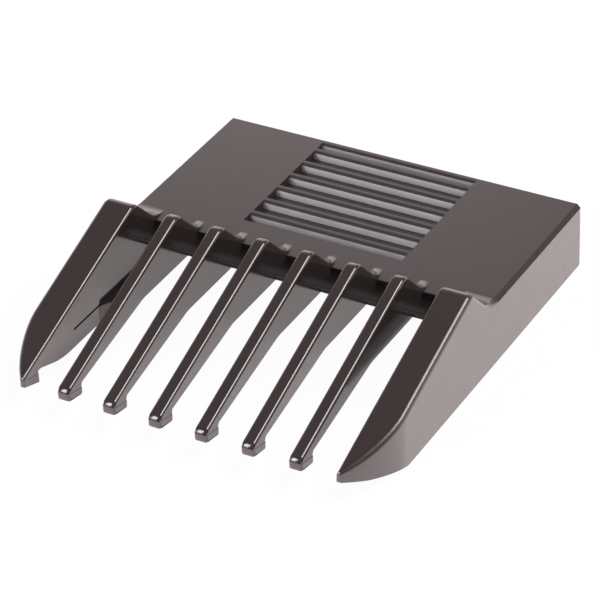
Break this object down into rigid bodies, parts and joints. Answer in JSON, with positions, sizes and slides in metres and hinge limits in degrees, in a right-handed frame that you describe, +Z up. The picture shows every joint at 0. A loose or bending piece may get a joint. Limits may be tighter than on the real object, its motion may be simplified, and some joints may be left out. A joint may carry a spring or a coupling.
{
  "type": "hair clipper guide comb",
  "caption": "Clip-on guide comb for a hair clipper, with a flat plate, ribbed thumb grip, slender hooked teeth and wide curved end guards.",
  "frame": {"origin": "centre of the bounding box's bottom face, on the ground under the side walls", "axes": "+X across the comb to its right guard, -Y along the teeth to their tips, +Z up from the ground through the plate"},
  "size_m": [0.048, 0.0542, 0.0128],
  "materials": {
    "satin_plastic": "satin dark brown-grey moulded plastic",
    "gloss_plastic": "polished dark brown-grey moulded plastic"
  },
  "bodies": {
    "root": {"top_plate": "satin_plastic", "grip_rib_1": "satin_plastic", "grip_rib_2": "satin_plastic", "grip_rib_3": "satin_plastic", "grip_rib_4": "satin_plastic", "grip_rib_5": "satin_plastic", "grip_rib_6": "satin_plastic", "left_side_wall": "satin_plastic", "right_side_wall": "satin_plastic", "left_blade_rail": "satin_plastic", "right_blade_rail": "satin_plastic", "rear_clip_tab": "satin_plastic", "rear_clip_catch": "satin_plastic", "tooth_1": "gloss_plastic", "tooth_2": "gloss_plastic", "tooth_3": "gloss_plastic", "tooth_4": "gloss_plastic", "tooth_5": "gloss_plastic", "tooth_6": "gloss_plastic", "root_cove_1": "gloss_plastic", "root_cove_2": "gloss_plastic", "root_cove_3": "gloss_plastic", "root_cove_4": "gloss_plastic", "root_cove_5": "gloss_plastic", "root_cove_6": "gloss_plastic", "root_cove_7": "gloss_plastic", "left_guard": "gloss_plastic", "right_guard": "gloss_plastic"}
  },
  "joints": []
}
